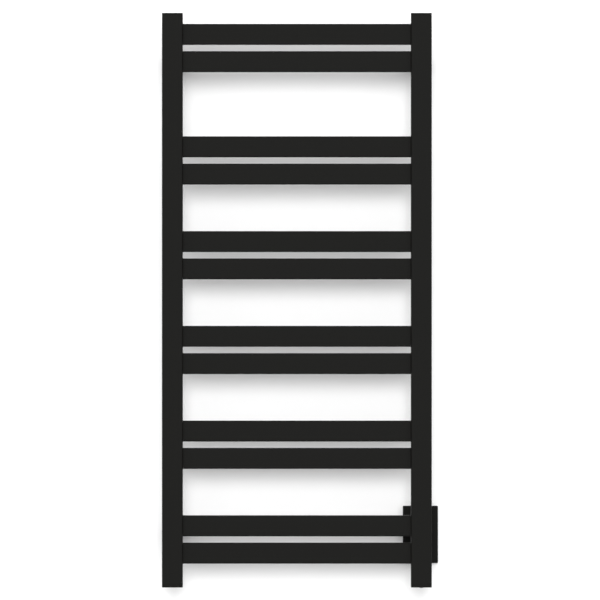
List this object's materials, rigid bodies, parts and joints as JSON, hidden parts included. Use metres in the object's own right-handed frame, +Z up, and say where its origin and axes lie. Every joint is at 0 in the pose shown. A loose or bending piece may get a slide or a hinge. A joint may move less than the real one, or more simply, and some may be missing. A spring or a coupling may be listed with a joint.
{
  "type": "electric towel rail",
  "caption": "Wall-hung ladder towel rail: flat crossbars in pairs between two box posts, on square legs, with a wired-in heating cable and a push switch under one post.",
  "frame": {"origin": "on the wall's face, in the middle of the four wall brackets", "axes": "+X to the right as seen from the front, +Y into the wall, +Z up; the rail lies at negative Y"},
  "size_m": [0.548, 0.11, 1.1375],
  "materials": {
    "powder_coat": "matte black fine-texture powder coat on steel",
    "zinc_steel": "zinc-plated steel, dull bright",
    "black_steel": "black oxide steel, satin",
    "light_pipe": "frosted clear plastic light ring, unlit",
    "nylon": "natural nylon",
    "black_nylon": "black nylon",
    "lead_sheath": "dark grey flexible lead sheath",
    "heater_silicone": "brick-red silicone over the heating cores",
    "wire_silicone": "natural silicone sleeve",
    "earth_silicone": "green silicone sleeve"
  },
  "bodies": {
    "wall_brackets": {"wall_stub_upper_left": "zinc_steel", "wall_stub_upper_right": "zinc_steel", "wall_stub_lower_left": "zinc_steel", "wall_stub_lower_right": "zinc_steel", "rosette_upper_left": "powder_coat", "rosette_upper_right": "powder_coat", "rosette_lower_left": "powder_coat", "junction_cover": "powder_coat", "cover_screw_upper": "black_steel", "cover_screw_lower": "black_steel", "lead_bushing": "black_nylon"},
    "rail": {"left_post": "powder_coat", "right_post": "powder_coat", "crossbar_01": "powder_coat", "crossbar_02": "powder_coat", "crossbar_03": "powder_coat", "crossbar_04": "powder_coat", "crossbar_05": "powder_coat", "crossbar_06": "powder_coat", "crossbar_07": "powder_coat", "crossbar_08": "powder_coat", "crossbar_09": "powder_coat", "crossbar_10": "powder_coat", "crossbar_11": "powder_coat", "crossbar_12": "powder_coat", "top_left_cap": "powder_coat", "top_right_cap": "powder_coat", "bottom_left_cap": "powder_coat", "bottom_right_cap": "powder_coat", "leg_upper_left": "powder_coat", "leg_upper_right": "powder_coat", "leg_lower_left": "powder_coat", "leg_lower_right": "powder_coat", "leg_bolt_upper_left": "zinc_steel", "leg_bolt_upper_right": "zinc_steel", "leg_bolt_lower_left": "zinc_steel", "leg_bolt_lower_right": "zinc_steel", "switch_locknut": "zinc_steel", "switch_spring": "zinc_steel", "earth_screw": "zinc_steel", "set_screw_upper_left": "black_steel", "set_screw_upper_right": "black_steel", "set_screw_lower_left": "black_steel", "set_screw_lower_right": "black_steel", "switch_bezel": "black_steel", "switch_light_ring": "light_pipe", "terminal_block": "nylon", "overheat_cutout": "nylon", "switch_base": "black_nylon", "supply_lead": "lead_sheath", "heating_cable": "heater_silicone", "cable_end_seal": "heater_silicone", "cold_joint": "heater_silicone", "switch_lead": "wire_silicone", "cutout_lead": "wire_silicone", "cold_lead": "wire_silicone", "earth_lead": "earth_silicone"},
    "button": {"switch_button": "black_steel"}
  },
  "joints": [
    {"name": "depth_slide", "type": "slide", "parent": "wall_brackets", "child": "rail", "axis": [0, -1, 0], "range_m": [0, 0.01]},
    {"name": "button_press", "type": "slide", "parent": "rail", "child": "button", "axis": [0, 0, 1], "range_m": [0, 0.0015], "stiffness_N_per_m": 1500, "springref_m": -0.0006, "deforming": ["switch_spring"]}
  ]
}
